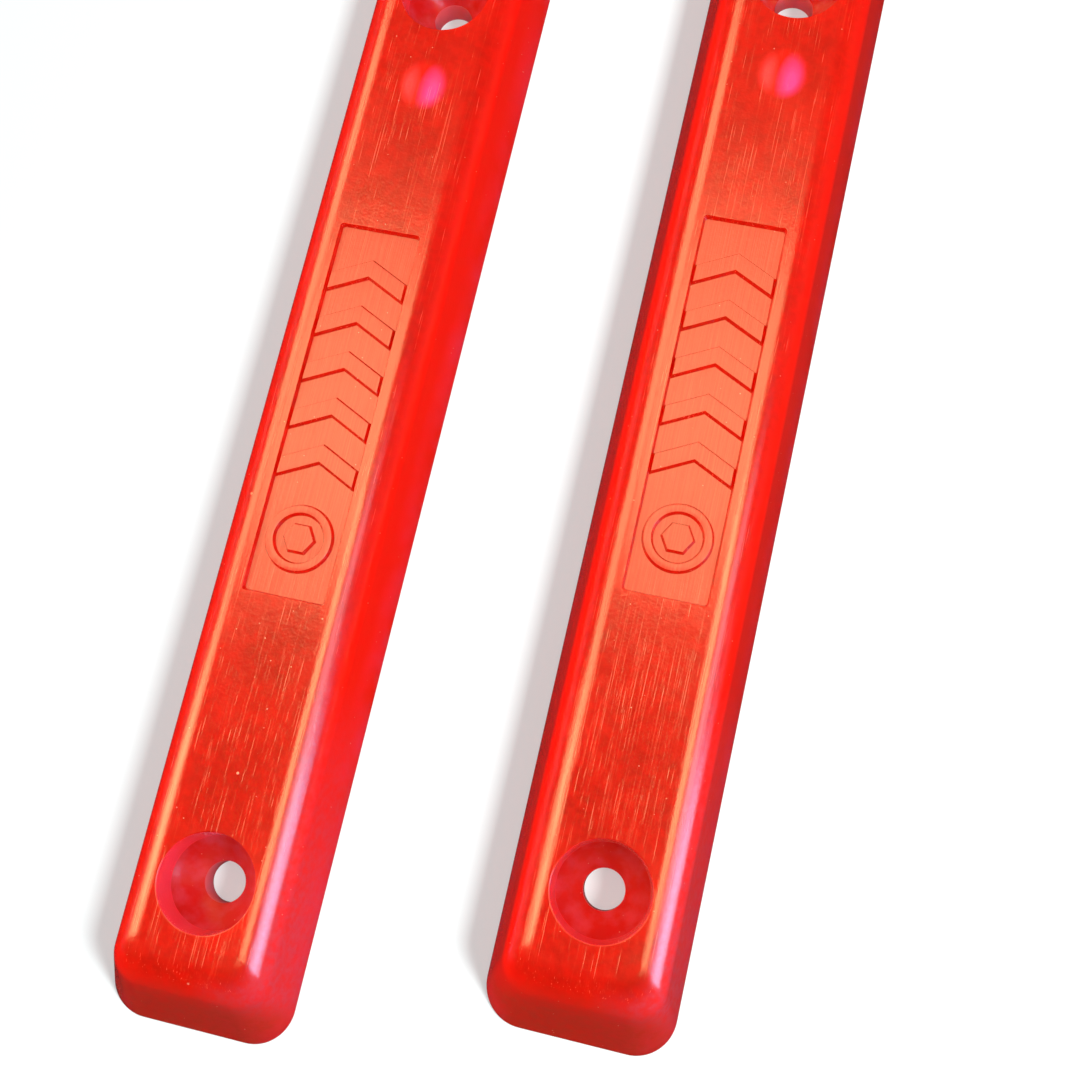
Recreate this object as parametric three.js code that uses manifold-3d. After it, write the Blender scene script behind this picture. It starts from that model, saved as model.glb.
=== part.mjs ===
// A pair of skateboard deck rails: two identical strips of moulded urethane that screw to a deck's
// underside, shown lying side by side on their flat undersides.
// Millimetres and degrees. +Z is up and +Y runs along the rails. The origin is on the surface that the
// rails lie on, under the middle of the pair.
import * as THREE from 'three';
import { mergeVertices } from 'three/addons/utils/BufferGeometryUtils.js';
import Module from 'manifold-3d';

const wasm = await Module();
wasm.setup();

// The pair
const railGap = 20.5; // clear width between the two rails
const railStagger = 8.9; // how much further up the right rail lies
const railNames = ['left_rail', 'right_rail'];

// The rail's body
const railLength = 368;
const railWidth = 22;
const railHeight = 9.5;
const sideDraft = 15; // slope of the long sides, from vertical
const sideRadius = 3.8; // rounding between a long side and the top
const endDraft = 33; // slope of the end ramps, from vertical
const endRadius = 5; // rounding between an end ramp and the top
const baseCornerRadius = 4.75; // plan corners at the underside
const topCornerRadius = 2.2; // plan corners where the rounding meets the flat top
const cornerSteps = 6;
const roundingSteps = 5;

// The screw holes
const holeCount = 4;
const endDistance = 17.2; // from the rail's end to its first hole
const counterboreRadius = 5.55;
const counterboreDepth = 3.6;
const counterboreTaper = 0.26; // how much narrower the counterbore is at its floor
const countersinkAngle = 90; // full angle of the cone under the counterbore
const screwHoleRadius = 2.38;
const holeSides = 36;

// The moulding recess: a blind, tapered, round-tipped hole in the underside
const recessToHole = 10.3; // from its centre to the nearer screw hole's
const recessRadius = 3.4;
const recessCover = 3.8; // material left between it and the top
const recessTipRadius = 1.9; // radius of the round tip
const recessSides = 24;
const recessTipSteps = 4;

// The sunk panel in the top, with its raised figures
const panelMargin = 0.6; // from the panel's side to the edge of the flat top
const panelDepth = 0.6;
const figureRise = 0.5; // height of the figures above the panel's floor
const figureSideMargin = 0.35; // from a figure's ends to the panel's sides
const emblemSideMargin = 0.7; // how much further the emblem's ring stays inside
const emblemBand = 0.9; // width of the emblem's ring
const hexagonShare = 0.6; // of the ring's inner radius
const emblemSides = 32;
const emblemMargin = 3.2; // from the panel's near end to the emblem
const emblemToChevrons = 3.1;
const chevronCount = 5;
const chevronBand = 2.1; // length of a chevron's arm along the rail
const chevronRise = 2.3; // how far its point leads its ends
const chevronPitch = 5.85;
const farMargin = 4; // from the last chevron to the panel's far end

// How far cutting tools reach past a face that they open
const reach = 1;

const railMaterial = { color: 0xd9230d, roughness: 0.32, metalness: 0 };

const radians = (degrees) => (degrees * Math.PI) / 180;

// How far the body's outline lies inside the underside's, at height z, for a wall that slopes by draft
// and rounds into the top with the given radius.
function inset(z, draft, radius) {
  const slope = Math.tan(radians(draft));
  const tangentHeight = railHeight - radius * (1 - Math.sin(radians(draft)));
  if (z <= tangentHeight) return z * slope;
  const arcCentre = tangentHeight * slope + radius * Math.cos(radians(draft));
  const rise = z - (railHeight - radius);
  return arcCentre - Math.sqrt(Math.max(0, radius * radius - rise * rise));
}

const topInset = inset(railHeight, sideDraft, sideRadius);
const flatTopHalfWidth = railWidth / 2 - topInset;

// Heights of the body's outlines: the underside, then even turns round both roundings.
function bodyHeights() {
  const heights = [0];
  for (const [draft, radius] of [[sideDraft, sideRadius], [endDraft, endRadius]]) {
    for (let step = 0; step <= roundingSteps; step += 1) {
      const tilt = radians(draft) + (step / roundingSteps) * (Math.PI / 2 - radians(draft));
      heights.push(railHeight - radius * (1 - Math.sin(tilt)));
    }
  }
  const sorted = heights.sort((a, b) => a - b);
  return sorted.filter((z, index) => index === 0 || z - sorted[index - 1] > 0.05);
}

// The body's outline at height z: a rectangle with round corners.
function bodyOutline(z) {
  const sideInset = inset(z, sideDraft, sideRadius);
  const halfWidth = railWidth / 2 - sideInset;
  const halfLength = railLength / 2 - inset(z, endDraft, endRadius);
  const cornerRadius = THREE.MathUtils.lerp(baseCornerRadius, topCornerRadius, sideInset / topInset);
  const points = [];
  for (let quarter = 0; quarter < 4; quarter += 1) {
    const sideX = quarter === 0 || quarter === 3 ? 1 : -1;
    const sideY = quarter < 2 ? 1 : -1;
    for (let step = 0; step <= cornerSteps; step += 1) {
      const turn = (quarter + step / cornerSteps) * (Math.PI / 2);
      const x = sideX * (halfWidth - cornerRadius) + cornerRadius * Math.cos(turn);
      const y = sideY * (halfLength - cornerRadius) + cornerRadius * Math.sin(turn);
      points.push([x, y, z]);
    }
  }
  return points;
}

// A closed geometry through a stack of outlines that all have the same number of points.
function loft(outlines) {
  const count = outlines[0].length;
  const indices = [];
  for (let level = 0; level < outlines.length - 1; level += 1) {
    for (let i = 0; i < count; i += 1) {
      const a = level * count + i;
      const b = level * count + ((i + 1) % count);
      indices.push(a, b, b + count, a, b + count, a + count);
    }
  }
  const last = (outlines.length - 1) * count;
  for (let i = 1; i < count - 1; i += 1) {
    indices.push(0, i + 1, i);
    indices.push(last, last + i, last + i + 1);
  }
  const geometry = new THREE.BufferGeometry();
  geometry.setAttribute('position', new THREE.Float32BufferAttribute(outlines.flat(2), 3));
  geometry.setIndex(indices);
  return geometry;
}

// A solid turned about +Z from a profile of [radius, height] points that starts and ends on the axis.
function turned(profile, sides) {
  const geometry = new THREE.LatheGeometry(profile.map(([r, z]) => new THREE.Vector2(r, z)), sides);
  return geometry.rotateX(Math.PI / 2);
}

// A flat outline pushed up from height bottom to height top.
function pushed(shape, bottom, top, curveSegments = 12) {
  const settings = { depth: top - bottom, bevelEnabled: false, curveSegments };
  return new THREE.ExtrudeGeometry(shape, settings).translate(0, 0, bottom);
}

function toSolid(geometry) {
  const bare = geometry.clone();
  bare.deleteAttribute('normal');
  bare.deleteAttribute('uv');
  const merged = mergeVertices(bare, 1e-5);
  const vertProperties = new Float32Array(merged.attributes.position.array);
  const triVerts = new Uint32Array(merged.index.array);
  return new wasm.Manifold(new wasm.Mesh({ numProp: 3, vertProperties, triVerts }));
}

function toGeometry(solid) {
  const { vertProperties, triVerts } = solid.getMesh();
  const geometry = new THREE.BufferGeometry();
  geometry.setAttribute('position', new THREE.BufferAttribute(new Float32Array(vertProperties), 3));
  geometry.setIndex(new THREE.BufferAttribute(new Uint32Array(triVerts), 1));
  geometry.computeVertexNormals();
  return geometry;
}

// Counterbore, countersink and screw hole in one tool, turned about the hole's axis.
function holeTool() {
  const floorHeight = railHeight - counterboreDepth;
  const floorRadius = counterboreRadius - counterboreTaper;
  const coneHeight = (floorRadius - screwHoleRadius) / Math.tan(radians(countersinkAngle / 2));
  const mouthRadius = counterboreRadius + (reach * counterboreTaper) / counterboreDepth;
  const profile = [
    [0, -reach],
    [screwHoleRadius, -reach],
    [screwHoleRadius, floorHeight - coneHeight],
    [floorRadius, floorHeight],
    [mouthRadius, railHeight + reach],
    [0, railHeight + reach],
  ];
  return turned(profile, holeSides);
}

// The underside's blind recess: a taper up to a round tip.
function recessTool() {
  const tipCentre = railHeight - recessCover - recessTipRadius;
  const slope = (recessRadius - recessTipRadius) / tipCentre;
  const profile = [[0, -reach], [recessRadius + reach * slope, -reach]];
  for (let step = 0; step <= recessTipSteps; step += 1) {
    const turn = (step / recessTipSteps) * (Math.PI / 2);
    const radius = step === recessTipSteps ? 0 : recessTipRadius * Math.cos(turn);
    profile.push([radius, tipCentre + recessTipRadius * Math.sin(turn)]);
  }
  return turned(profile, recessSides);
}

// The panel, measured along the rail from its near end.
const panelHalfWidth = flatTopHalfWidth - panelMargin;
const figureHalfWidth = panelHalfWidth - figureSideMargin;
const emblemRadius = figureHalfWidth - emblemSideMargin;
const emblemInnerRadius = emblemRadius - emblemBand;
const chevronLength = chevronBand + chevronRise;
const firstChevron = emblemMargin + 2 * emblemRadius + emblemToChevrons;
const panelLength = firstChevron + (chevronCount - 1) * chevronPitch + chevronLength + farMargin;

function ringShape() {
  const shape = new THREE.Shape().absarc(0, 0, emblemRadius, 0, 2 * Math.PI);
  shape.holes.push(new THREE.Path().absarc(0, 0, emblemInnerRadius, 0, 2 * Math.PI, true));
  return shape;
}

function hexagonShape() {
  const radius = hexagonShare * emblemInnerRadius;
  const corners = [];
  for (let i = 0; i < 6; i += 1) {
    const turn = (i * Math.PI) / 3;
    corners.push(new THREE.Vector2(Math.cos(turn), Math.sin(turn)).multiplyScalar(radius));
  }
  return new THREE.Shape(corners);
}

// A chevron across the panel, pointing up the rail, with its arms' near ends at the origin's height.
function chevronShape() {
  const corners = [
    [-figureHalfWidth, 0],
    [0, chevronRise],
    [figureHalfWidth, 0],
    [figureHalfWidth, chevronBand],
    [0, chevronLength],
    [-figureHalfWidth, chevronBand],
  ];
  return new THREE.Shape(corners.map(([x, y]) => new THREE.Vector2(x, y)));
}

// The panel's cut in the top, with the raised figures left standing on its floor.
function panelTool() {
  const floor = railHeight - panelDepth;
  const outline = new THREE.Shape();
  outline.moveTo(-panelHalfWidth, 0);
  outline.lineTo(panelHalfWidth, 0);
  outline.lineTo(panelHalfWidth, panelLength);
  outline.lineTo(-panelHalfWidth, panelLength);
  let tool = toSolid(pushed(outline, floor, railHeight + reach));
  const figureTop = floor + figureRise;
  const arcSegments = emblemSides / 2;
  const emblemCentre = emblemMargin + emblemRadius;
  for (const shape of [ringShape(), hexagonShape()]) {
    const figure = pushed(shape, floor - reach, figureTop, arcSegments).translate(0, emblemCentre, 0);
    tool = tool.subtract(toSolid(figure));
  }
  for (let i = 0; i < chevronCount; i += 1) {
    const start = firstChevron + i * chevronPitch;
    tool = tool.subtract(toSolid(pushed(chevronShape(), floor - reach, figureTop).translate(0, start, 0)));
  }
  return tool.translate([0, -panelLength / 2, 0]);
}

// One rail, centred on its own length. Its two ends are alike: each outer bay between the holes has a
// panel in its middle and a recess beside its inner hole, and the middle bay is plain.
function railSolid() {
  const holePitch = (railLength - 2 * endDistance) / (holeCount - 1);
  const firstHole = -railLength / 2 + endDistance;
  let solid = toSolid(loft(bodyHeights().map(bodyOutline)));
  const hole = toSolid(holeTool());
  for (let i = 0; i < holeCount; i += 1) {
    solid = solid.subtract(hole.translate([0, firstHole + i * holePitch, 0]));
  }
  const panel = panelTool().translate([0, firstHole + holePitch / 2, 0]);
  const recess = toSolid(recessTool()).translate([0, firstHole + holePitch - recessToHole, 0]);
  for (const turn of [0, 180]) {
    solid = solid.subtract(panel.rotate([0, 0, turn]));
    solid = solid.subtract(recess.rotate([0, 0, turn]));
  }
  return solid;
}

const group = new THREE.Group();
const railGeometry = toGeometry(railSolid());
const railSpacing = railWidth + railGap;
railNames.forEach((name, index) => {
  const side = index === 0 ? -1 : 1;
  const rail = new THREE.Mesh(railGeometry, new THREE.MeshStandardMaterial(railMaterial));
  rail.name = name;
  rail.position.set((side * railSpacing) / 2, (side * railStagger) / 2, 0);
  group.add(rail);
});

export default group;
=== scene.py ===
"""A pair of skateboard deck rails in translucent red urethane, on a plain white floor.

Lengths are in millimetres until a mesh is made, and each rail is modelled about its own middle:
x across it, y along it and z up from its underside.
"""

import math

import bpy
from mathutils import Euler, Matrix, Vector


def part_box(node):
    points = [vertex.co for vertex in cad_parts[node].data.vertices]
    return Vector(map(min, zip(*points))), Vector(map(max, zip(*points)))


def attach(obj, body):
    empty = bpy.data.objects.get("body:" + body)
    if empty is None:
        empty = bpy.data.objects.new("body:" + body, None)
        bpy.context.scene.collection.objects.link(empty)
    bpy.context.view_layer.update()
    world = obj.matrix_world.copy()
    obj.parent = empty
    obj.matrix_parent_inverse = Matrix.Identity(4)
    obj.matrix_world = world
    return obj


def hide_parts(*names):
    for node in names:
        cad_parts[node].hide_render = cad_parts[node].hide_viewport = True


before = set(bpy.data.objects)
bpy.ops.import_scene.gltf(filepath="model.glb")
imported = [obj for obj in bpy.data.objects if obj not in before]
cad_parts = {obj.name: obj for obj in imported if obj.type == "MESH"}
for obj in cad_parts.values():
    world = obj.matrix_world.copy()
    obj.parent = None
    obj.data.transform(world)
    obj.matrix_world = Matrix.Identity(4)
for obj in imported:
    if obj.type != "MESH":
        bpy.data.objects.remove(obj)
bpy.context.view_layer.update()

MM = 0.001
RAILS = {"left_rail": "left", "right_rail": "right"}

low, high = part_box("left_rail")
RAIL_WIDTH, RAIL_LENGTH, RAIL_HEIGHT = [side / MM for side in high - low]
right_low, right_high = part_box("right_rail")
RAIL_MIDDLE = ((right_low.x + right_high.x) / 2 / MM, (right_low.y + right_high.y) / 2 / MM, 0)

# The rail's body
SIDE_DRAFT = math.radians(15)
SIDE_RADIUS = 3.8
END_DRAFT = math.radians(33)
END_RADIUS = 5.0
BASE_CORNER_RADIUS = 4.75
TOP_CORNER_RADIUS = 2.2
BASE_EDGE_RADIUS = 0.25
BASE_EDGE_STEPS = 4
CORNER_STEPS = 16
ROUNDING_STEPS = 18

# The screw holes
HOLE_COUNT = 4
END_DISTANCE = 17.2
COUNTERBORE_RADIUS = 5.55
COUNTERBORE_DEPTH = 3.6
COUNTERBORE_TAPER = 0.26
COUNTERSINK_ANGLE = math.radians(90)
SCREW_HOLE_RADIUS = 2.38
RIM_RADIUS = 0.14
MOUTH_STEPS = 4
RIM_STEPS = 5
NECK_BEVEL = 0.05
FLOOR_CORNER = (0.005, 0.06)
HOLE_SIDES = 96

# The blind recess in the underside
RECESS_TO_HOLE = 10.3
RECESS_RADIUS = 3.4
RECESS_COVER = 3.8
RECESS_TIP_RADIUS = 1.9
RECESS_TIP_STEPS = 8
RECESS_TIP_END = 0.98
RECESS_SIDES = 64

# The sunk panel with its raised figures
PANEL_MARGIN = 0.6
PANEL_DEPTH = 0.6
PANEL_CORNER_RADIUS = 0.35
PANEL_CORNER_STEPS = 4
FIGURE_RISE = 0.5
FIGURE_SIDE_MARGIN = 0.35
WALL_RUN = 0.2
EDGE_RADIUS = 0.07
EDGE_STEPS = 3
EMBLEM_SIDE_MARGIN = 0.7
EMBLEM_BAND = 0.9
EMBLEM_SIDES = 72
HEXAGON_SHARE = 0.6
EMBLEM_MARGIN = 3.2
EMBLEM_TO_CHEVRONS = 3.1
CHEVRON_COUNT = 5
CHEVRON_BAND = 2.1
CHEVRON_RISE = 2.3
CHEVRON_PITCH = 5.85
FAR_MARGIN = 4.0

# How far a cutting tool reaches past the surface it cuts
REACH = 1.0

# The shading: the angle from which an edge stays sharp, and how much larger faces count for more
CREASE_ANGLE = math.radians(38)
AREA_WEIGHT = 100

# The finishes: a bored face isn't level, and a machined one is, and lies a little below the
# panel's floor at the lowest or a little above the figures' tops at the highest
FINISHES = ("moulded", "machined", "bored")
BORED_NORMAL = 0.99
MACHINED_NORMAL = 0.95
MACHINED_SLACK = (0.05, 0.02)

# ---- looks ----

# The plastic's colours, among them painted shade, a painted sheen, a painted glow and painted highlights
BRIGHT_RED = (0.88, 0.010, 0.0018, 1)
# Painted shade: the top and its roundings darker than the walls
TOP_SHADE_RED = (0.46, 0.008, 0.0008, 1)
MACHINED_RED = (0.70, 0.042, 0.017, 1)
# Painted shade: the ends darker
END_SHADE_RED = (0.58, 0.030, 0.012, 1)
# Painted sheen: a dull pink under the cool highlight on the right of the near end
ROSE_SHEEN_RED = (0.66, 0.075, 0.11, 1)
# Painted glow: the walls paler and pinker low down and beside the first holes
PAINTED_GLOW_RED = (0.98, 0.030, 0.060, 1)
# Painted glow: the holes' steep walls pink, and paler low in the screw hole
BORED_GLOW_RED = (1.0, 0.060, 0.095, 1)
SCREW_HOLE_GLOW_RED = (1.0, 0.22, 0.27, 1)
CONE_RED = (0.64, 0.012, 0.012, 1)
CLOUDY_RED = (0.72, 0.055, 0.085, 1)
# Painted highlights of the recess as it shows through the top
SALMON_HIGHLIGHT = (0.98, 0.070, 0.070, 1)
MAGENTA_HIGHLIGHT = (1.0, 0.085, 0.42, 1)
SCRATCH_RED = (0.90, 0.12, 0.05, 1)
DUST_COLOUR = (1.0, 0.62, 0.42, 1)

# Where a colour begins and where it is full: heights, places along the rail or across it
# Painted shade: where the top's darker colour begins and where it is full
TOP_SHADE_HEIGHTS = (7.5, 9.3)
# Where the painted pink sheen lies: heights, along the rail and across it
ROSE_SHEEN_HEIGHTS = (9.45, 8.6)
ROSE_SHEEN_ALONG = (-RAIL_LENGTH / 2 + 42.0, -RAIL_LENGTH / 2 + 14.0)
ROSE_SHEEN_ACROSS = (1.0, 7.0)
# Where the painted shade on the ends begins and where it is full
END_SHADE_ALONG = (-RAIL_LENGTH / 2 + 6.5, -RAIL_LENGTH / 2 + 3.5)
# Where the painted glow in the screw hole and on the steep walls begins and where it is full
SCREW_HOLE_GLOW_HEIGHTS = (4.2, 2.6)
STEEP_NORMALS = (0.55, 0.35)
# Where the painted glow on the walls begins and where it is full
GLOW_HEIGHTS = (5.0, 0.0)
GLOW_ACROSS = (7.0, 8.0)
SCRATCHED_HEIGHTS = (8.5, 8.9)

# Noise patches: size, detail, and the noise where a patch begins and where it is full
MOTTLE = (7.0, 3.0, 0.30, 0.70)
GRAIN = (0.9, 4.0, 0.36, 0.64)
CLOUDS = (2.2, 4.0, 0.42, 0.66)
GLOW_PATCHES = (5.0, 2.0, 0.35, 0.70)
SCRATCHED_PATCHES = (14.0, 1.0, 0.42, 0.60)
ROUGH_PATCHES = (2.5, 4.0, 0.30, 0.70)

# How much of a colour shows, where two numbers are given between the patches and on them
MOTTLE_SHARES = (1.0, 0.72)
GRAIN_SHARES = (1.0, 0.70)
ROSE_SHEEN_SHARES = (0.70, 0.30)
END_SHADE_SHARES = (1.0, 0.7)
MACHINED_SHARES = (0.55, 0.95)
CLOUD_SHARE = 0.75
GLOW_SHARE = 0.8
SCRATCH_SHARE = 0.26
DUST_SHARE = 0.5

# Oval spots of painted light: the painted glow beside the first holes, and the underside's recess painted as
# it shows through the top, with a painted salmon highlight and a painted magenta one
GLOW_RADII = (14, 7)
GLOW_FADE = 0.6
GLOW_BEFORE_HOLE = 5
SEEN_SHIFT = (0.5, -2.8)
SEEN_RADII = (2.7, 2.9)
SEEN_FADE = 0.22
SEEN_HEIGHTS = (8.0, 9.0)
SEEN_SHARE = 0.6
LOBE_FADE = 0.6
SALMON_LOBE = (-1.3, -0.5)
SALMON_RADII = (0.9, 2.3)
MAGENTA_LOBE = (1.7, -0.9)
MAGENTA_RADII = (1.2, 2.6)
MAGENTA_SHARE = 0.85

# Marks: the cutter's lines and the scratches are (width, length, turn in degrees, noise where one begins,
# noise where it is full), and the specks of dust are (spacing, radius, share of the cells that have one)
STREAK_DETAIL = 1.5
SPECK_CORE = 0.6
CUTTER_LINES = (0.17, 30.0, 0.0, 0.35, 0.65)
LONG_SCRATCHES = (0.19, 15.0, 1.5, 0.57, 0.70)
SHORT_SCRATCHES = (
    (0.20, 12.0, -5.0, 0.65, 0.76),
    (0.18, 7.0, -14.0, 0.65, 0.76),
    (0.17, 5.0, 38.0, 0.65, 0.76),
)
FINE_DUST = (1.2, 0.08, 0.45)
COARSE_DUST = (4.0, 0.18, 0.25)

# The relief, whose noises are (size, detail) and whose parts are shares of its height, and the roughness
BUMP_HEIGHT = 0.02
RIPPLE = (1.6, 2.0)
RIPPLE_RELIEF = 0.5
FINE_GRAIN = (0.35, 2.0)
FINE_GRAIN_RELIEF = 0.7
SCRATCH_RELIEF = 0.25
DUST_RELIEF = 0.8
CUTTER_RELIEF = 0.6
MOULDED_ROUGHNESS = (0.15, 0.21)
MACHINED_ROUGHNESS = (0.30, 0.38)
WORN_ROUGHNESS = 0.12
COAT_ROUGHNESS = {"moulded": 0.18, "machined": 0.27, "bored": 0.18}

# The plastic's inside
PLASTIC_IOR = 1.5
COAT_IOR = 1.6
SUBSURFACE_RADIUS = (1.0, 0.12, 0.06)
SUBSURFACE_SCALE = 0.006
TRANSMISSION = 0.2
DEPTH_COLOUR = (0.99, 0.3, 0.1, 1)
DEPTH_DENSITY = 300.0

# From here on in metres: the floor, which glows more where it is further from the rails
FLOOR_HEIGHT = -0.0001
FLOOR_HALF_SIZE = 3.0
FLOOR_WHITE = (0.36, 0.40, 0.40, 1)
FLOOR_ROUGHNESS = 0.9
FLOOR_SPECULAR = 0.1
NEAR_GLOW = 0.45
FAR_GLOW = 1.0
GLOW_DISTANCES = (0.35, 0.9)

# The camera: across from the middle of the pair, along from the mean of the two near ends, and up
CAMERA_ACROSS = 0.02677
CAMERA_FROM_END = 0.02807
CAMERA_HEIGHT = 0.150
CAMERA_TURN = [math.radians(angle) for angle in (10.867, 4.48, 12.817)]
LENS = 42.75
SENSOR_WIDTH = 36
LENS_SHIFT = (-0.0204, 0.0532)
CLIP_START = 0.01

# The room: how its light grows from the near side to the far side, and how bright its reflection is
# and what the camera sees of it
ROOM_DIRECTIONS = (-0.9, 0.3)
ROOM_LIGHT = (0.0675, 0.5175)
ROOM_REFLECTED = 0.02
ROOM_SEEN = 1.0

# The lights
WHITE = (1, 1, 1)
WARM = (0.8, 0.52, 0.24)
ROSE = (0.8, 0.55, 0.60)
COOL = (0.34, 0.64, 1.0)
OPEN_SPREAD = math.pi
GRID_SPREAD = math.radians(60)
KEY_PLACE = (0.48, -0.16, 0.6)
KEY_TARGET = (0, -0.12, 0)
KEY_SIZE = (0.16, 0.16)
KEY_RADIANCE = 21.0
FLOOR_KEY_RADIANCE = 110.0
FILL_HEIGHT = 0.13
FILL_ALONG = 0.12
FILL_SIZE = (0.2, 0.8)
FILLS = (("_left_fill", -0.6, 5.0), ("_right_fill", 0.6, 2.8))

# Soft boxes: name, the spot of a rail where the camera sees one, distance, size, radiance, colour, spread.
# A spot is mm across from the rail's middle, mm from its near end, and the surface's sideways tilt there.
SOFT_BOXES = (
    ("_haze", (0, 73, 3), 0.6, (0.34, 0.18), 5.6, WARM, OPEN_SPREAD),
    ("_left", (-6, 62, -12), 0.7, (0.32, 0.66), 5.3, WARM, OPEN_SPREAD),
    ("_left_end", (-7, 20, -17), 0.7, (0.36, 0.20), 4.6, WARM, OPEN_SPREAD),
    ("_right", (6, 34, 9), 0.6, (0.21, 0.29), 7.6, WARM, OPEN_SPREAD),
    ("_rose", (7.5, 42, 21), 0.6, (0.21, 0.24), 4.0, ROSE, GRID_SPREAD),
    ("_cool", (7.5, 11, 32), 0.6, (0.48, 0.22), 8.6, COOL, GRID_SPREAD),
)


def inset(z, draft, radius):
    """How far the outline at height z lies inside the underside's."""
    tangent_height = RAIL_HEIGHT - radius * (1 - math.sin(draft))
    if z <= tangent_height:
        return z * math.tan(draft)
    arc_centre = tangent_height * math.tan(draft) + radius * math.cos(draft)
    rise = z - (RAIL_HEIGHT - radius)
    return arc_centre - math.sqrt(max(0.0, radius * radius - rise * rise))


TOP_INSET = inset(RAIL_HEIGHT, SIDE_DRAFT, SIDE_RADIUS)
FLAT_TOP_HALF_WIDTH = RAIL_WIDTH / 2 - TOP_INSET
PANEL_HALF_WIDTH = FLAT_TOP_HALF_WIDTH - PANEL_MARGIN
FIGURE_HALF_WIDTH = PANEL_HALF_WIDTH - FIGURE_SIDE_MARGIN
PANEL_FLOOR = RAIL_HEIGHT - PANEL_DEPTH
FIGURE_TOP = PANEL_FLOOR + FIGURE_RISE
EMBLEM_RADIUS = FIGURE_HALF_WIDTH - EMBLEM_SIDE_MARGIN
CHEVRON_LENGTH = CHEVRON_BAND + CHEVRON_RISE
FIRST_CHEVRON = EMBLEM_MARGIN + 2 * EMBLEM_RADIUS + EMBLEM_TO_CHEVRONS
PANEL_LENGTH = FIRST_CHEVRON + (CHEVRON_COUNT - 1) * CHEVRON_PITCH + CHEVRON_LENGTH + FAR_MARGIN
HOLE_PITCH = (RAIL_LENGTH - 2 * END_DISTANCE) / (HOLE_COUNT - 1)
FIRST_HOLE = -RAIL_LENGTH / 2 + END_DISTANCE
PANEL_MIDDLE = FIRST_HOLE + HOLE_PITCH / 2


# ---- mesh helpers ----


def mesh_object(name, vertices, faces):
    """An object in the scene from vertices in mm."""
    mesh = bpy.data.meshes.new(name)
    mesh.from_pydata([Vector(v) * MM for v in vertices], [], faces)
    mesh.validate()
    made = bpy.data.objects.new(name, mesh)
    bpy.context.scene.collection.objects.link(made)
    return made


def loft(name, outlines):
    """A closed solid through outlines of equal point counts, each anticlockwise from above, lowest first."""
    count = len(outlines[0])
    faces = [tuple(reversed(range(count)))]
    for level in range(len(outlines) - 1):
        start = level * count
        for i in range(count):
            j = (i + 1) % count
            faces.append((start + i, start + j, start + j + count, start + i + count))
    last = (len(outlines) - 1) * count
    faces.append(tuple(range(last, last + count)))
    return mesh_object(name, [point for outline in outlines for point in outline], faces)


def turned(name, profile, sides):
    """A closed solid turned about z from (radius, height) points, lowest first, with flat ends."""
    outlines = []
    for radius, height in profile:
        turns = [2 * math.pi * i / sides for i in range(sides)]
        outlines.append([(radius * math.cos(t), radius * math.sin(t), height) for t in turns])
    return loft(name, outlines)


def round_rectangle(half_width, half_length, corner_radius, z, steps):
    """An outline at height z, anticlockwise from above."""
    points = []
    for quarter, (side_x, side_y) in enumerate(((1, 1), (-1, 1), (-1, -1), (1, -1))):
        for step in range(steps + 1):
            turn = (quarter + step / steps) * math.pi / 2
            x = side_x * (half_width - corner_radius) + corner_radius * math.cos(turn)
            y = side_y * (half_length - corner_radius) + corner_radius * math.sin(turn)
            points.append((x, y, z))
    return points


def grown(corners, distance):
    """A closed anticlockwise outline with every side moved outwards by distance."""
    moved = []
    for i, corner in enumerate(corners):
        before = (Vector(corner) - Vector(corners[i - 1])).normalized()
        after = (Vector(corners[(i + 1) % len(corners)]) - Vector(corner)).normalized()
        out_before = Vector((before.y, -before.x))
        out_after = Vector((after.y, -after.x))
        bisector = (out_before + out_after).normalized()
        moved.append(Vector(corner) + bisector * distance / bisector.dot(out_before))
    return moved


def combine(target, tool, operation):
    """Cuts the tool out of the target or joins it on, and removes the tool."""
    modifier = target.modifiers.new(operation, "BOOLEAN")
    modifier.operation = operation
    modifier.solver = "EXACT"
    modifier.object = tool
    graph = bpy.context.evaluated_depsgraph_get()
    mesh = bpy.data.meshes.new_from_object(target.evaluated_get(graph))
    target.modifiers.clear()
    old = target.data
    target.data = mesh
    bpy.data.meshes.remove(old)
    drop(tool)


def drop(thing):
    mesh = thing.data
    bpy.data.objects.remove(thing)
    bpy.data.meshes.remove(mesh)


def placed(thing, y, turned_round=False):
    """Moves a tool's mesh along the rail, and to the other end when it is turned round."""
    move = Matrix.Translation((0, y * MM, 0))
    if turned_round:
        move = Matrix.Rotation(math.pi, 4, "Z") @ move
    thing.data.transform(move)
    return thing


# ---- the rail's shapes ----


def body_solid():
    """The outside of a rail: drafted sides and ends, rounded above and slightly at the base."""
    heights = []
    for step in range(BASE_EDGE_STEPS + 1):
        heights.append(BASE_EDGE_RADIUS * (1 - math.cos(step / BASE_EDGE_STEPS * math.pi / 2)))
    for step in range(ROUNDING_STEPS + 1):
        tilt = SIDE_DRAFT + (step / ROUNDING_STEPS) * (math.pi / 2 - SIDE_DRAFT)
        heights.append(RAIL_HEIGHT - SIDE_RADIUS * (1 - math.sin(tilt)))
    outlines = []
    for z in heights:
        side_inset = inset(z, SIDE_DRAFT, SIDE_RADIUS)
        end_inset = inset(z, END_DRAFT, END_RADIUS)
        share = side_inset / TOP_INSET
        corner = BASE_CORNER_RADIUS + share * (TOP_CORNER_RADIUS - BASE_CORNER_RADIUS)
        below = max(0.0, BASE_EDGE_RADIUS - z)
        edge = BASE_EDGE_RADIUS - math.sqrt(max(0.0, BASE_EDGE_RADIUS**2 - below**2))
        half_width = RAIL_WIDTH / 2 - side_inset - edge
        half_length = RAIL_LENGTH / 2 - end_inset - edge
        outlines.append(round_rectangle(half_width, half_length, corner, z, CORNER_STEPS))
    return loft("body", outlines)


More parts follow.
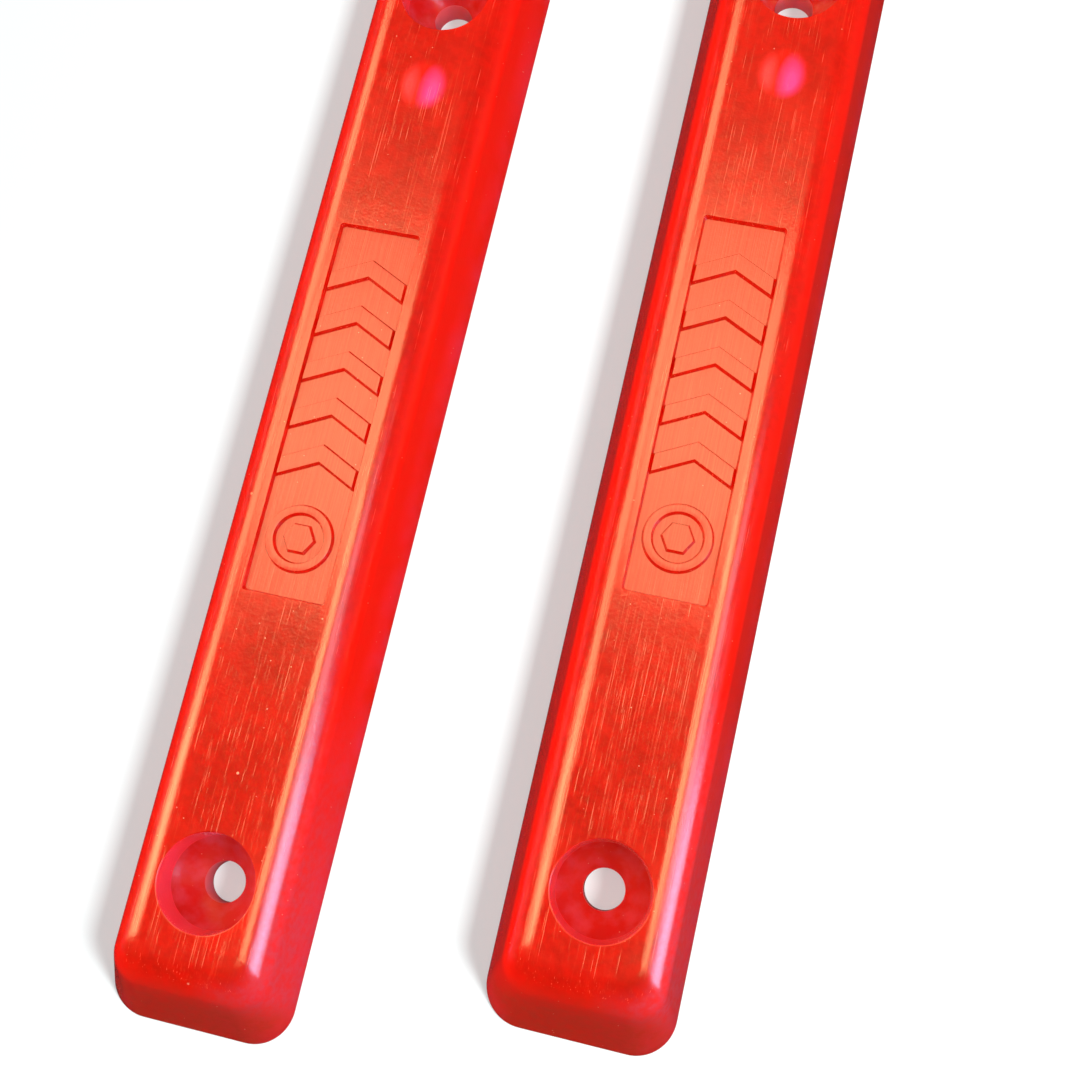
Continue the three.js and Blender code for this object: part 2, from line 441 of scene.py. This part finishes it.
def hole_tool():
    """Screw hole, countersink and counterbore, with small rounded rims where they open."""
    floor_height = RAIL_HEIGHT - COUNTERBORE_DEPTH
    floor_radius = COUNTERBORE_RADIUS - COUNTERBORE_TAPER
    cone_height = (floor_radius - SCREW_HOLE_RADIUS) / math.tan(COUNTERSINK_ANGLE / 2)
    neck = floor_height - cone_height
    profile = [(SCREW_HOLE_RADIUS + RIM_RADIUS, -REACH)]
    for step in range(MOUTH_STEPS + 1):
        turn = (step / MOUTH_STEPS) * math.pi / 2
        radius = SCREW_HOLE_RADIUS + RIM_RADIUS * (1 - math.sin(turn))
        profile.append((radius, RIM_RADIUS * (1 - math.cos(turn))))
    profile.append((SCREW_HOLE_RADIUS, neck - NECK_BEVEL))
    profile.append((SCREW_HOLE_RADIUS + NECK_BEVEL, neck + NECK_BEVEL))
    profile.append((floor_radius - NECK_BEVEL, floor_height - NECK_BEVEL))
    profile.append((floor_radius + FLOOR_CORNER[0], floor_height + FLOOR_CORNER[1]))
    for step in range(RIM_STEPS + 1):
        turn = (step / RIM_STEPS) * math.pi / 2
        radius = COUNTERBORE_RADIUS + RIM_RADIUS * (1 - math.cos(turn))
        profile.append((radius, RAIL_HEIGHT - RIM_RADIUS * (1 - math.sin(turn))))
    profile.append((COUNTERBORE_RADIUS + RIM_RADIUS, RAIL_HEIGHT + REACH))
    return turned("hole", profile, HOLE_SIDES)


def recess_tool():
    """The blind recess, which narrows towards its domed tip."""
    tip_centre = RAIL_HEIGHT - RECESS_COVER - RECESS_TIP_RADIUS
    slope = (RECESS_RADIUS - RECESS_TIP_RADIUS) / tip_centre
    profile = [(RECESS_RADIUS + REACH * slope, -REACH)]
    for step in range(RECESS_TIP_STEPS + 1):
        turn = min(step / RECESS_TIP_STEPS, RECESS_TIP_END) * math.pi / 2
        height = tip_centre + RECESS_TIP_RADIUS * math.sin(turn)
        profile.append((RECESS_TIP_RADIUS * math.cos(turn), height))
    return turned("recess", profile, RECESS_SIDES)


def sunk_levels():
    """(height, how far the wall stands back from the floor's outline) up a wall of the panel."""
    levels = [(PANEL_FLOOR, 0.0)]
    levels.append((PANEL_FLOOR + EDGE_RADIUS, EDGE_RADIUS / 2))
    levels.append((RAIL_HEIGHT - EDGE_RADIUS, WALL_RUN))
    for step in range(1, EDGE_STEPS + 1):
        turn = (step / EDGE_STEPS) * math.pi / 2
        height = RAIL_HEIGHT - EDGE_RADIUS * (1 - math.sin(turn))
        levels.append((height, WALL_RUN + EDGE_RADIUS * (1 - math.cos(turn))))
    levels.append((RAIL_HEIGHT + REACH, WALL_RUN + EDGE_RADIUS))
    return levels


def raised_levels():
    """(height, how far the wall stands out from the top's outline) up a wall of a figure."""
    levels = [(PANEL_FLOOR - REACH / 2, WALL_RUN), (PANEL_FLOOR, WALL_RUN)]
    for step in range(EDGE_STEPS + 1):
        turn = (step / EDGE_STEPS) * math.pi / 2
        height = FIGURE_TOP - EDGE_RADIUS * (1 - math.sin(turn))
        levels.append((height, -EDGE_RADIUS * (1 - math.cos(turn))))
    return levels


def panel_tool():
    """The sunk panel, without its figures, about its own middle."""
    outlines = []
    for height, back in sunk_levels():
        half_width = PANEL_HALF_WIDTH - WALL_RUN + back
        half_length = PANEL_LENGTH / 2 - WALL_RUN + back
        corners = (PANEL_CORNER_RADIUS, height, PANEL_CORNER_STEPS)
        outlines.append(round_rectangle(half_width, half_length, *corners))
    return loft("panel", outlines)


def chevron(start):
    """A raised band across the panel, pointing away from the near end."""
    corners = [
        (-FIGURE_HALF_WIDTH, start),
        (0, start + CHEVRON_RISE),
        (FIGURE_HALF_WIDTH, start),
        (FIGURE_HALF_WIDTH, start + CHEVRON_BAND),
        (0, start + CHEVRON_LENGTH),
        (-FIGURE_HALF_WIDTH, start + CHEVRON_BAND),
    ]
    outlines = []
    for height, out in raised_levels():
        outlines.append([(p.x, p.y, height) for p in grown(corners, out)])
    return loft("chevron", outlines)


def emblem_hexagon(middle):
    radius = HEXAGON_SHARE * (EMBLEM_RADIUS - EMBLEM_BAND)
    turns = [i * math.pi / 3 for i in range(6)]
    corners = [(radius * math.cos(turn), middle + radius * math.sin(turn)) for turn in turns]
    outlines = [[(p.x, p.y, height) for p in grown(corners, out)] for height, out in raised_levels()]
    return loft("hexagon", outlines)


def emblem_ring(middle):
    """A turned ring, as a closed band of faces round its section."""
    inner = EMBLEM_RADIUS - EMBLEM_BAND
    section = [(EMBLEM_RADIUS + out, height) for height, out in raised_levels()]
    section += [(inner - out, height) for height, out in reversed(raised_levels())]
    vertices = []
    for i in range(EMBLEM_SIDES):
        turn = 2 * math.pi * i / EMBLEM_SIDES
        vertices += [(r * math.cos(turn), middle + r * math.sin(turn), z) for r, z in section]
    faces = []
    count = len(section)
    for i in range(EMBLEM_SIDES):
        a = i * count
        b = ((i + 1) % EMBLEM_SIDES) * count
        for k in range(count):
            n = (k + 1) % count
            faces.append((a + k, b + k, b + n, a + n))
    return mesh_object("ring", vertices, faces)


def rail_mesh():
    """One rail, the same end for end: the near end's panel and recess, and both again turned round."""
    rail = body_solid()
    for i in range(HOLE_COUNT):
        combine(rail, placed(hole_tool(), FIRST_HOLE + i * HOLE_PITCH), "DIFFERENCE")
    near_end = -PANEL_LENGTH / 2
    for turned_round in (False, True):
        combine(rail, placed(panel_tool(), PANEL_MIDDLE, turned_round), "DIFFERENCE")
        figures = [emblem_ring(near_end + EMBLEM_MARGIN + EMBLEM_RADIUS)]
        figures.append(emblem_hexagon(near_end + EMBLEM_MARGIN + EMBLEM_RADIUS))
        figures += [chevron(near_end + FIRST_CHEVRON + i * CHEVRON_PITCH) for i in range(CHEVRON_COUNT)]
        for figure in figures:
            combine(rail, placed(figure, PANEL_MIDDLE, turned_round), "UNION")
        recess = placed(recess_tool(), FIRST_HOLE + HOLE_PITCH - RECESS_TO_HOLE, turned_round)
        combine(rail, recess, "DIFFERENCE")
    mesh = rail.data
    bpy.data.objects.remove(rail)
    return mesh


# ---- materials ----


def add(tree, kind, inputs=(), **settings):
    """A node with its settings, and its inputs as values or as the sockets that feed them."""
    node = tree.nodes.new(kind)
    for key, value in settings.items():
        setattr(node, key, value)
    for name, value in dict(inputs).items():
        if isinstance(value, bpy.types.NodeSocket):
            tree.links.new(value, node.inputs[name])
        else:
            node.inputs[name].default_value = value
    return node


def ramp(tree, value, low, high, to_low=0.0, to_high=1.0):
    """Value moved from low..high to to_low..to_high, and held there beyond them."""
    inputs = {"Value": value, "From Min": low, "From Max": high, "To Min": to_low, "To Max": to_high}
    return add(tree, "ShaderNodeMapRange", inputs).outputs["Result"]


def maths(tree, operation, a, b):
    return add(tree, "ShaderNodeMath", {0: a, 1: b}, operation=operation).outputs[0]


def product(tree, *factors):
    result = factors[0]
    for factor in factors[1:]:
        result = maths(tree, "MULTIPLY", result, factor)
    return result


def part(tree, vector, axis):
    return add(tree, "ShaderNodeSeparateXYZ", {0: vector}).outputs[axis]


def blend(tree, share, a, b):
    """Colour a, moved towards colour b by share."""
    inputs = {"Factor": share, 6: a, 7: b}
    return add(tree, "ShaderNodeMix", inputs, data_type="RGBA").outputs[2]


def choose(tree, share, a, b):
    """Number a, moved towards number b by share."""
    inputs = {0: share, 2: a, 3: b}
    return add(tree, "ShaderNodeMix", inputs, data_type="FLOAT").outputs[0]


def noise(tree, place, size, detail):
    inputs = {"Vector": place, "Scale": 1 / size, "Detail": detail}
    return add(tree, "ShaderNodeTexNoise", inputs).outputs["Fac"]


def patches(tree, place, size, detail, low, high, to_low=0.0, to_high=1.0):
    return ramp(tree, noise(tree, place, size, detail), low, high, to_low, to_high)


def streaks(tree, place, width, length, turn, low, high):
    """Fine lines along y, turned a little, where a drawn-out noise is above low."""
    scale = (1 / width, 1 / length, 1 / width)
    inputs = {"Vector": place, "Rotation": (0, 0, math.radians(turn)), "Scale": scale}
    stretched = add(tree, "ShaderNodeMapping", inputs).outputs[0]
    return patches(tree, stretched, 1.0, STREAK_DETAIL, low, high)


def specks(tree, place, spacing, radius, share):
    """Round specks, one in each of a share of the cells."""
    cells = add(tree, "ShaderNodeTexVoronoi", {"Vector": place, "Scale": 1 / spacing})
    near = ramp(tree, cells.outputs["Distance"], radius / spacing, SPECK_CORE * radius / spacing)
    chance = add(tree, "ShaderNodeSeparateColor", {0: cells.outputs["Color"]}).outputs[0]
    return product(tree, near, maths(tree, "GREATER_THAN", chance, 1 - share))


def spot(tree, place, middle, radii, fade):
    """1 in an upright oval column about middle, fading to 0 at 1 + fade of its radii."""
    moved = add(tree, "ShaderNodeVectorMath", {0: place, 1: (*middle, 0)}, operation="SUBTRACT").outputs[0]
    shares = (1 / radii[0], 1 / radii[1], 0)
    scaled = add(tree, "ShaderNodeVectorMath", {0: moved, 1: shares}, operation="MULTIPLY").outputs[0]
    reach = add(tree, "ShaderNodeVectorMath", {0: scaled}, operation="LENGTH").outputs["Value"]
    return ramp(tree, reach, 1 + fade, 1 - fade)


def sign_of(tree, place, axis):
    signs = add(tree, "ShaderNodeVectorMath", {0: place}, operation="SIGN").outputs[0]
    return part(tree, signs, axis)


def rail_coordinates(tree, place):
    """Place about the rail's own middle, in mm, with the far half turned round onto the near half."""
    side = sign_of(tree, place, "X")
    middle = add(tree, "ShaderNodeVectorMath", {0: RAIL_MIDDLE, "Scale": side}, operation="SCALE").outputs[0]
    own = add(tree, "ShaderNodeVectorMath", {0: place, 1: middle}, operation="SUBTRACT").outputs[0]
    half = product(tree, sign_of(tree, own, "Y"), -1.0)
    return add(tree, "ShaderNodeVectorMath", {0: own, "Scale": half}, operation="SCALE").outputs[0]


def outer_red(tree, place, own):
    """Painted shade deeper on the top than on the walls, with cloudy patches, rosy with a painted pink sheen
    at the right of the near end, and painted shade at the ends.
    """
    height = part(tree, place, "Z")
    along = part(tree, own, "Y")
    mottle = patches(tree, place, *MOTTLE)
    grain = patches(tree, place, *GRAIN)
    # painted shade on the top and its upper roundings
    top_shade = ramp(tree, height, *TOP_SHADE_HEIGHTS)
    mottled = ramp(tree, mottle, 0.0, 1.0, *MOTTLE_SHARES)
    grained = ramp(tree, grain, 0.0, 1.0, *GRAIN_SHARES)
    red = blend(tree, product(tree, top_shade, mottled, grained), BRIGHT_RED, TOP_SHADE_RED)

    # painted pink sheen on the right rounding and wall near the end, under the cool highlight
    rose = product(tree, ramp(tree, along, *ROSE_SHEEN_ALONG), ramp(tree, height, *ROSE_SHEEN_HEIGHTS))
    rose = product(tree, rose, ramp(tree, grain, 0.0, 1.0, *ROSE_SHEEN_SHARES))
    rose = product(tree, rose, ramp(tree, part(tree, own, "X"), *ROSE_SHEEN_ACROSS))
    red = blend(tree, rose, red, ROSE_SHEEN_RED)

    # painted shade on the ends
    end = product(tree, ramp(tree, along, *END_SHADE_ALONG), ramp(tree, grain, 0.0, 1.0, *END_SHADE_SHARES))
    return blend(tree, end, red, END_SHADE_RED)


def bored_glow_red(tree, place):
    """A painted glow, pink where a hole's wall is steep and paler in the screw hole, and a cloudy deep red
    on the cone.
    """
    normal = add(tree, "ShaderNodeNewGeometry").outputs["Normal"]
    # painted glow on the holes' walls
    wall_glow = blend(tree, ramp(tree, part(tree, place, "Z"), *SCREW_HOLE_GLOW_HEIGHTS), BORED_GLOW_RED, SCREW_HOLE_GLOW_RED)
    cone = blend(tree, product(tree, patches(tree, place, *CLOUDS), CLOUD_SHARE), CONE_RED, CLOUDY_RED)
    return blend(tree, ramp(tree, part(tree, normal, "Z"), *STEEP_NORMALS), cone, wall_glow)


def with_painted_glow(tree, place, own, red):
    """A painted glow: paler and pinker low on the walls, and most beside the first two holes."""
    outside = maths(tree, "ABSOLUTE", part(tree, own, "X"), 0.0)
    low = product(tree, ramp(tree, part(tree, place, "Z"), *GLOW_HEIGHTS), ramp(tree, outside, *GLOW_ACROSS))
    glowing = product(tree, low, patches(tree, place, *GLOW_PATCHES))
    for y in (FIRST_HOLE, FIRST_HOLE + HOLE_PITCH - GLOW_BEFORE_HOLE):
        glow = product(tree, spot(tree, own, (0, y), GLOW_RADII, GLOW_FADE), low)
        glowing = maths(tree, "MAXIMUM", glowing, glow)
    return blend(tree, product(tree, glowing, GLOW_SHARE), red, PAINTED_GLOW_RED)


def with_painted_recess(tree, place, own, red):
    """The recess painted as it shows through the top: a soft, brighter disc of painted light with a painted
    salmon highlight and a painted magenta one.
    """
    disc_y = FIRST_HOLE + HOLE_PITCH - RECESS_TO_HOLE + SEEN_SHIFT[1]
    seen = spot(tree, own, (SEEN_SHIFT[0], disc_y), SEEN_RADII, SEEN_FADE)
    seen = product(tree, seen, ramp(tree, part(tree, place, "Z"), *SEEN_HEIGHTS))
    left = spot(tree, own, (SALMON_LOBE[0], disc_y + SALMON_LOBE[1]), SALMON_RADII, LOBE_FADE)
    right = spot(tree, own, (MAGENTA_LOBE[0], disc_y + MAGENTA_LOBE[1]), MAGENTA_RADII, LOBE_FADE)
    red = blend(tree, product(tree, seen, SEEN_SHARE), red, BRIGHT_RED)
    red = blend(tree, product(tree, seen, left), red, SALMON_HIGHLIGHT)
    return blend(tree, product(tree, seen, right, MAGENTA_SHARE), red, MAGENTA_HIGHLIGHT)


def scratches(tree, place):
    """Fine scratches on the top, mostly along the rail, the long ones in patches."""
    marks = product(tree, streaks(tree, place, *LONG_SCRATCHES), patches(tree, place, *SCRATCHED_PATCHES))
    for layer in SHORT_SCRATCHES:
        marks = maths(tree, "MAXIMUM", marks, streaks(tree, place, *layer))
    return product(tree, marks, ramp(tree, part(tree, place, "Z"), *SCRATCHED_HEIGHTS))


def urethane(name, kind):
    """Translucent red urethane: moulded, machined with the cutter's fine lines, or bored in the holes."""
    material = bpy.data.materials.new(name)
    material.use_nodes = True
    tree = material.node_tree
    tree.nodes.clear()
    place = add(tree, "ShaderNodeTexCoord").outputs["Object"]
    place = add(tree, "ShaderNodeVectorMath", {0: place, "Scale": 1 / MM}, operation="SCALE").outputs[0]
    own = rail_coordinates(tree, place)
    worn = scratches(tree, place)
    dust = maths(tree, "MAXIMUM", specks(tree, place, *FINE_DUST), specks(tree, place, *COARSE_DUST))

    red = bored_glow_red(tree, place) if kind == "bored" else outer_red(tree, place, own)
    if kind == "machined":
        lines = streaks(tree, place, *CUTTER_LINES)
        red = blend(tree, ramp(tree, lines, 0.0, 1.0, *MACHINED_SHARES), red, MACHINED_RED)
    # painted glow low on the walls
    red = with_painted_glow(tree, place, own, red)
    if kind == "moulded":
        # painted light: the recess as it shows through the top, with its painted highlights
        red = with_painted_recess(tree, place, own, red)
    red = blend(tree, product(tree, worn, SCRATCH_SHARE), red, SCRATCH_RED)
    red = blend(tree, product(tree, dust, DUST_SHARE), red, DUST_COLOUR)

    relief = product(tree, noise(tree, place, *RIPPLE), RIPPLE_RELIEF)
    relief = maths(tree, "ADD", relief, product(tree, noise(tree, place, *FINE_GRAIN), FINE_GRAIN_RELIEF))
    relief = maths(tree, "SUBTRACT", relief, product(tree, worn, SCRATCH_RELIEF))
    relief = maths(tree, "ADD", relief, product(tree, dust, DUST_RELIEF))
    rough = patches(tree, place, *ROUGH_PATCHES, *MOULDED_ROUGHNESS)
    if kind == "machined":
        relief = maths(tree, "ADD", relief, product(tree, lines, CUTTER_RELIEF))
        rough = ramp(tree, lines, 0.0, 1.0, *MACHINED_ROUGHNESS)
    rough = maths(tree, "ADD", rough, product(tree, worn, WORN_ROUGHNESS))
    inputs = {"Height": relief, "Strength": 1.0, "Distance": BUMP_HEIGHT * MM}
    bumped = add(tree, "ShaderNodeBump", inputs).outputs[0]

    surface = {
        "Base Color": red,
        "Roughness": rough,
        "IOR": PLASTIC_IOR,
        "Normal": bumped,
        "Coat Weight": 1.0,
        "Coat Roughness": COAT_ROUGHNESS[kind],
        "Coat IOR": COAT_IOR,
        "Coat Normal": bumped,
        "Subsurface Weight": 1.0,
        "Subsurface Radius": SUBSURFACE_RADIUS,
        "Subsurface Scale": SUBSURFACE_SCALE,
        "Transmission Weight": TRANSMISSION,
    }
    shader = add(tree, "ShaderNodeBsdfPrincipled", surface)
    depth = add(tree, "ShaderNodeVolumeAbsorption", {"Color": DEPTH_COLOUR, "Density": DEPTH_DENSITY})
    add(tree, "ShaderNodeOutputMaterial", {"Surface": shader.outputs[0], "Volume": depth.outputs[0]})
    return material


def floor_material():
    """White, and lit a little from within, so that the plastic glows as it does on a bright table."""
    material = bpy.data.materials.new("white_floor")
    material.use_nodes = True
    tree = material.node_tree
    place = add(tree, "ShaderNodeTexCoord").outputs["Object"]
    reach = add(tree, "ShaderNodeVectorMath", {0: place}, operation="LENGTH").outputs["Value"]
    shader = tree.nodes["Principled BSDF"]
    shader.inputs["Base Color"].default_value = FLOOR_WHITE
    shader.inputs["Roughness"].default_value = FLOOR_ROUGHNESS
    shader.inputs["Specular IOR Level"].default_value = FLOOR_SPECULAR
    shader.inputs["Emission Color"].default_value = (*WHITE, 1)
    glow = ramp(tree, reach, *GLOW_DISTANCES, NEAR_GLOW, FAR_GLOW)
    tree.links.new(glow, shader.inputs["Emission Strength"])
    return material


# ---- the scene ----


def mark_faces(mesh):
    """Gives the panels' floors and figures' tops the machined finish, and the holes' walls the bored one."""
    lowest = PANEL_FLOOR - MACHINED_SLACK[0]
    highest = FIGURE_TOP + MACHINED_SLACK[1]
    for face in mesh.polygons:
        x, y, height = face.center / MM
        in_panel = abs(x) < PANEL_HALF_WIDTH and abs(abs(y) - abs(PANEL_MIDDLE)) < PANEL_LENGTH / 2
        to_hole = min(math.hypot(x, y - FIRST_HOLE - i * HOLE_PITCH) for i in range(HOLE_COUNT))
        finish = "moulded"
        if to_hole < COUNTERBORE_RADIUS + RIM_RADIUS / 2 and abs(face.normal.z) < BORED_NORMAL:
            finish = "bored"
        elif in_panel and lowest < height < highest and face.normal.z > MACHINED_NORMAL:
            finish = "machined"
        face.material_index = FINISHES.index(finish)


def make_rails():
    mesh = rail_mesh()
    mesh.shade_smooth()
    mesh.set_sharp_from_angle(angle=CREASE_ANGLE)
    mesh.materials.clear()
    for kind in FINISHES:
        mesh.materials.append(urethane("urethane_" + kind, kind))
    mark_faces(mesh)
    rails = []
    for node, body in RAILS.items():
        low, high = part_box(node)
        rail = bpy.data.objects.new(node + "_moulding", mesh.copy())
        bpy.context.scene.collection.objects.link(rail)
        rail.data.transform(Matrix.Translation(((low.x + high.x) / 2, (low.y + high.y) / 2, low.z)))
        weighted = rail.modifiers.new("weighted", "WEIGHTED_NORMAL")
        weighted.keep_sharp = True
        weighted.weight = AREA_WEIGHT
        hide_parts(node)
        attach(rail, body)
        rails.append(rail)
    return rails


def make_floor():
    half = FLOOR_HALF_SIZE
    mesh = bpy.data.meshes.new("floor")
    corners = [(-half, -half), (half, -half), (half, half), (-half, half)]
    mesh.from_pydata([(x, y, FLOOR_HEIGHT) for x, y in corners], [], [(0, 1, 2, 3)])
    floor = bpy.data.objects.new("floor", mesh)
    floor.data.materials.append(floor_material())
    floor.visible_glossy = False
    bpy.context.scene.collection.objects.link(floor)
    return floor


def make_camera():
    """Close above the rails' near ends, looking down and slightly along them."""
    data = bpy.data.cameras.new("camera")
    data.lens = LENS
    data.sensor_width = SENSOR_WIDTH
    data.shift_x, data.shift_y = LENS_SHIFT
    data.clip_start = CLIP_START
    camera = bpy.data.objects.new("camera", data)
    camera.location = (CAMERA_ACROSS, CAMERA_FROM_END - RAIL_LENGTH * MM / 2, CAMERA_HEIGHT)
    camera.rotation_euler = Euler(CAMERA_TURN)
    bpy.context.scene.collection.objects.link(camera)
    bpy.context.scene.camera = camera


def area_light(name, place, target, size, radiance, colour, only=None, spread=OPEN_SPREAD):
    """A rectangle of light, size[0] wide across the rails and size[1] along them, facing target.

    It lights everything, or only one object. A narrower spread leaves what it gives straight ahead as it is.
    """
    data = bpy.data.lights.new(name, "AREA")
    data.shape = "RECTANGLE"
    data.size, data.size_y = size
    data.spread = spread
    spread_share = 1 - (spread / 2) / math.tan(spread / 2)
    data.energy = radiance * size[0] * size[1] * math.pi * spread_share
    data.color = colour
    back = (Vector(place) - Vector(target)).normalized()
    across = Vector((0, 1, 0)).cross(back).normalized()
    light = bpy.data.objects.new(name, data)
    light.location = place
    light.rotation_euler = Matrix((across, back.cross(across), back)).transposed().to_euler()
    bpy.context.scene.collection.objects.link(light)
    if only:
        lit = bpy.data.collections.new(name + "_lights")
        lit.objects.link(only)
        light.light_linking.receiver_collection = lit
    return light


def fill_light(name, rail, place, target, radiance):
    """Brightens one rail from the side without a highlight, and only the rail itself shades it."""
    light = area_light(name, place, target, FILL_SIZE, radiance, WHITE, rail)
    light.visible_glossy = False
    light.light_linking.blocker_collection = light.light_linking.receiver_collection


def soft_box(name, rail, near_end, spot_seen, distance, size, radiance, colour, spread):
    """Lights one rail from where the camera sees its reflection at the spot."""
    x, y, tilt = spot_seen
    seen = near_end + Vector((x, y, RAIL_HEIGHT)) * MM
    normal = Vector((math.sin(math.radians(tilt)), 0, math.cos(math.radians(tilt))))
    view = (bpy.context.scene.camera.location - seen).normalized()
    mirrored = 2 * normal.dot(view) * normal - view
    area_light(name, seen + mirrored * distance, seen, size, radiance, colour, rail, spread)


def make_world():
    """A white room, dimmer towards the near ends, and dim in reflections so that the walls stay red."""
    world = bpy.data.worlds.new("white_room")
    world.use_nodes = True
    tree = world.node_tree
    direction = add(tree, "ShaderNodeTexCoord").outputs["Generated"]
    path = add(tree, "ShaderNodeLightPath").outputs
    strength = ramp(tree, part(tree, direction, "Y"), *ROOM_DIRECTIONS, *ROOM_LIGHT)
    strength = choose(tree, path["Is Glossy Ray"], strength, ROOM_REFLECTED)
    strength = choose(tree, path["Is Camera Ray"], strength, ROOM_SEEN)
    tree.links.new(strength, tree.nodes["Background"].inputs["Strength"])
    tree.nodes["Background"].inputs["Color"].default_value = (*WHITE, 1)
    bpy.context.scene.world = world


def make_lights(rails, floor):
    """A key light, a brighter one for the floor alone, and for each rail its own fills and soft boxes."""
    key = area_light("key", KEY_PLACE, KEY_TARGET, KEY_SIZE, KEY_RADIANCE, WHITE)
    key.visible_glossy = False
    area_light("floor_key", KEY_PLACE, KEY_TARGET, KEY_SIZE, FLOOR_KEY_RADIANCE, WHITE, floor)
    for node, rail in zip(RAILS, rails):
        low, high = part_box(node)
        near_end = Vector(((low.x + high.x) / 2, low.y, low.z))
        target = near_end + Vector((0, FILL_ALONG, 0))
        for name, reach, radiance in FILLS:
            fill_light(node + name, rail, target + Vector((reach, 0, FILL_HEIGHT)), target, radiance)
        for name, *settings in SOFT_BOXES:
            soft_box(node + name, rail, near_end, *settings)


make_camera()
rails = make_rails()
floor = make_floor()
make_world()
make_lights(rails, floor)
bpy.context.scene.view_settings.view_transform = "Standard"
